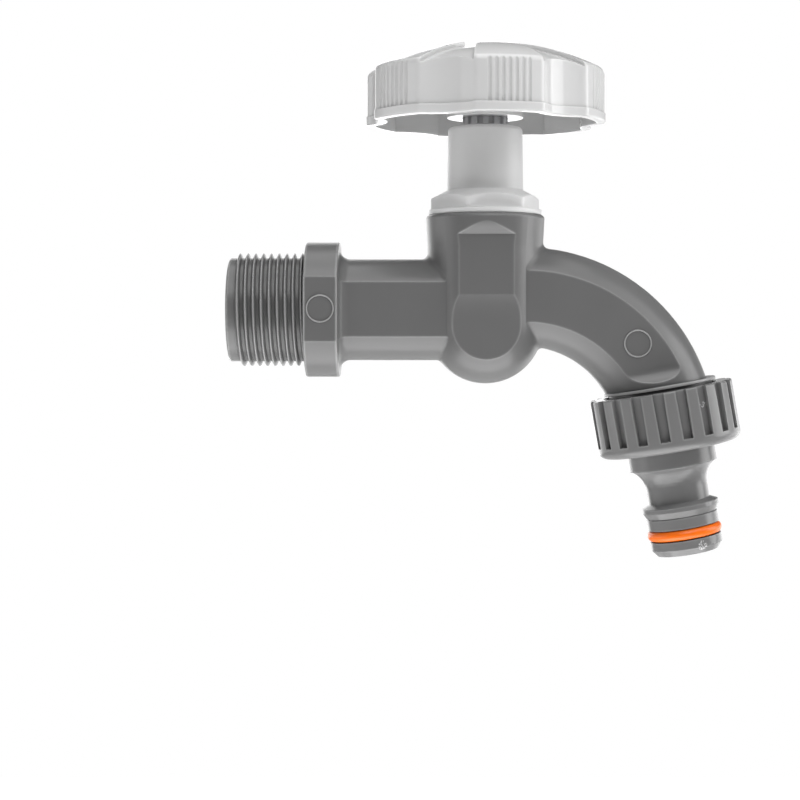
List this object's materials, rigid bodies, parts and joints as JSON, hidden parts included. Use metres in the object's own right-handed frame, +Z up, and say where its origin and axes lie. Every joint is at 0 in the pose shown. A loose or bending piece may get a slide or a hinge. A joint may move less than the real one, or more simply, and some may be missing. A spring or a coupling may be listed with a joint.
{
  "type": "water butt tap",
  "caption": "Plastic bib tap with a threaded inlet, lobed handwheel, tall bonnet sleeve and curved spout, with a screw-on snap-in hose connector.",
  "frame": {"origin": "on the inlet axis at the collar's shoulder, where the thread ends", "axes": "+X along the inlet axis towards the spout, +Z up along the valve axis, +Y away from the side with the ring marks"},
  "size_m": [0.1188, 0.056, 0.1188],
  "materials": {
    "grey_plastic": "satin moulded grey",
    "connector_plastic": "satin moulded grey",
    "spindle_plastic": "satin moulded grey",
    "white_plastic": "satin moulded white",
    "black_rubber": "matte",
    "orange_rubber": "satin",
    "screw_steel": "plain"
  },
  "bodies": {
    "tap": {"tap_body": "grey_plastic", "bonnet": "white_plastic", "bonnet_seal": "black_rubber"},
    "closure": {"jumper": "white_plastic", "valve_washer": "black_rubber", "washer_screw": "screw_steel"},
    "wheel": {"spindle": "spindle_plastic", "spindle_o_ring_lower": "black_rubber", "spindle_o_ring_upper": "black_rubber", "handwheel": "white_plastic", "handwheel_screw": "screw_steel", "handwheel_cap": "white_plastic"},
    "gasket": {"connector_gasket": "black_rubber"},
    "connector": {"hose_connector": "connector_plastic", "connector_o_ring": "orange_rubber"}
  },
  "joints": [
    {"name": "valve_lift", "type": "slide", "parent": "tap", "child": "closure", "axis": [0, 0, 1], "range_m": [0, 0.00525]},
    {"name": "wheel_turn", "type": "hinge", "parent": "closure", "child": "wheel", "pos_m": [0.04165, 0, 0.0442], "axis": [0, 0, 1], "range_deg": [0, 630]},
    {"name": "connector_travel", "type": "slide", "parent": "tap", "child": "gasket", "axis": [0.1702, 0, -0.9854], "range_m": [0, 0.00907]},
    {"name": "connector_turn", "type": "hinge", "parent": "gasket", "child": "connector", "pos_m": [0.08241, 0, -0.01814], "axis": [0.1702, 0, -0.9854], "range_deg": [0, 1800]}
  ],
  "couplings": [
    {"joint": "valve_lift", "follows": "wheel_turn", "m_per_rad": 0.00047746},
    {"joint": "connector_travel", "follows": "connector_turn", "m_per_rad": 0.0002887}
  ]
}
